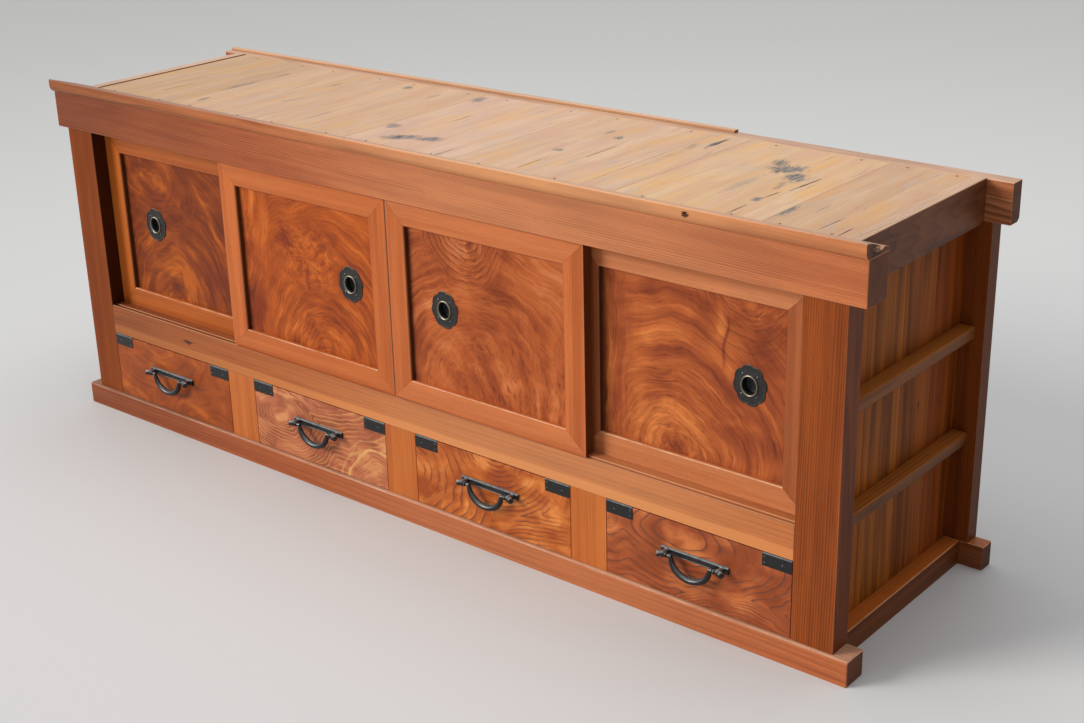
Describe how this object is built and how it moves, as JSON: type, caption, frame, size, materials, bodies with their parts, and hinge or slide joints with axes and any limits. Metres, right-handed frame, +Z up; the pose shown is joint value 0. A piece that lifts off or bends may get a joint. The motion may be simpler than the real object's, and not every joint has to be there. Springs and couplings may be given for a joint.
{
  "type": "kitchen tansu",
  "caption": "Low, long wooden kitchen chest with sliding panelled doors in two tracks above a row of drawers with iron drop handles, under a crowned top.",
  "frame": {"origin": "centre of the floor rectangle under the whole chest, handles included", "axes": "+X to the chest's right along its length, +Y to its back, +Z up; the doors and drawers face -Y"},
  "size_m": [1.776, 0.483, 0.6746],
  "materials": {
    "frame_timber": "wiped lacquer",
    "door_frame": "wiped lacquer",
    "figured_panel": "wiped lacquer",
    "top_boards": "worn matte",
    "side_boards": "worn matte",
    "inner_boards": "bare",
    "iron": "blackened, rubbed"
  },
  "bodies": {
    "case": {"front_top_beam": "frame_timber", "crown_moulding": "frame_timber", "rear_top_beam": "frame_timber", "rear_lip_strip": "frame_timber", "side_top_rails": "frame_timber", "front_left_post": "frame_timber", "front_right_post": "frame_timber", "rear_left_post": "frame_timber", "rear_right_post": "frame_timber", "front_bottom_rail": "frame_timber", "rear_bottom_rail": "frame_timber", "side_bottom_rails": "frame_timber", "middle_rail": "frame_timber", "drawer_dividers": "frame_timber", "top_boards": "top_boards", "left_side_panel": "side_boards", "right_side_panel": "side_boards", "side_battens": "frame_timber", "back_panel": "inner_boards", "cabinet_floor": "inner_boards", "inner_partitions": "inner_boards", "drawer_guides": "inner_boards", "bottom_boards": "inner_boards", "board_ledgers": "inner_boards"},
    "door_1": {"door_1_frame": "door_frame", "door_1_panel": "figured_panel", "door_1_pull": "iron"},
    "door_2": {"door_2_frame": "door_frame", "door_2_panel": "figured_panel", "door_2_pull": "iron"},
    "door_3": {"door_3_frame": "door_frame", "door_3_panel": "figured_panel", "door_3_pull": "iron"},
    "door_4": {"door_4_frame": "door_frame", "door_4_panel": "figured_panel", "door_4_pull": "iron"},
    "drawer_1": {"drawer_1_front": "figured_panel", "drawer_1_box": "inner_boards", "drawer_1_bottom": "inner_boards", "drawer_1_corner_plates": "iron", "drawer_1_handle_plate": "iron"},
    "bail_1": {"drawer_1_bail": "iron"},
    "drawer_2": {"drawer_2_front": "figured_panel", "drawer_2_box": "inner_boards", "drawer_2_bottom": "inner_boards", "drawer_2_corner_plates": "iron", "drawer_2_handle_plate": "iron"},
    "bail_2": {"drawer_2_bail": "iron"},
    "drawer_3": {"drawer_3_front": "figured_panel", "drawer_3_box": "inner_boards", "drawer_3_bottom": "inner_boards", "drawer_3_corner_plates": "iron", "drawer_3_handle_plate": "iron"},
    "bail_3": {"drawer_3_bail": "iron"},
    "drawer_4": {"drawer_4_front": "figured_panel", "drawer_4_box": "inner_boards", "drawer_4_bottom": "inner_boards", "drawer_4_corner_plates": "iron", "drawer_4_handle_plate": "iron"},
    "bail_4": {"drawer_4_bail": "iron"}
  },
  "joints": [
    {"name": "door_1_slide", "type": "slide", "parent": "case", "child": "door_1", "axis": [1, 0, 0], "range_m": [0, 0.373]},
    {"name": "door_2_slide", "type": "slide", "parent": "case", "child": "door_2", "axis": [-1, 0, 0], "range_m": [0, 0.363]},
    {"name": "door_3_slide", "type": "slide", "parent": "case", "child": "door_3", "axis": [1, 0, 0], "range_m": [0, 0.382]},
    {"name": "door_4_slide", "type": "slide", "parent": "case", "child": "door_4", "axis": [-1, 0, 0], "range_m": [0, 0.373]},
    {"name": "drawer_1_slide", "type": "slide", "parent": "case", "child": "drawer_1", "axis": [0, -1, 0], "range_m": [0, 0.3]},
    {"name": "bail_1_swing", "type": "hinge", "parent": "drawer_1", "child": "bail_1", "pos_m": [-0.61819, -0.2325, 0.12], "axis": [-1, 0, 0], "range_deg": [-15, 165]},
    {"name": "drawer_2_slide", "type": "slide", "parent": "case", "child": "drawer_2", "axis": [0, -1, 0], "range_m": [0, 0.3]},
    {"name": "bail_2_swing", "type": "hinge", "parent": "drawer_2", "child": "bail_2", "pos_m": [-0.20606, -0.2325, 0.12], "axis": [-1, 0, 0], "range_deg": [-15, 165]},
    {"name": "drawer_3_slide", "type": "slide", "parent": "case", "child": "drawer_3", "axis": [0, -1, 0], "range_m": [0, 0.3]},
    {"name": "bail_3_swing", "type": "hinge", "parent": "drawer_3", "child": "bail_3", "pos_m": [0.20606, -0.2325, 0.12], "axis": [-1, 0, 0], "range_deg": [-15, 165]},
    {"name": "drawer_4_slide", "type": "slide", "parent": "case", "child": "drawer_4", "axis": [0, -1, 0], "range_m": [0, 0.3]},
    {"name": "bail_4_swing", "type": "hinge", "parent": "drawer_4", "child": "bail_4", "pos_m": [0.61819, -0.2325, 0.12], "axis": [-1, 0, 0], "range_deg": [-15, 165]}
  ]
}
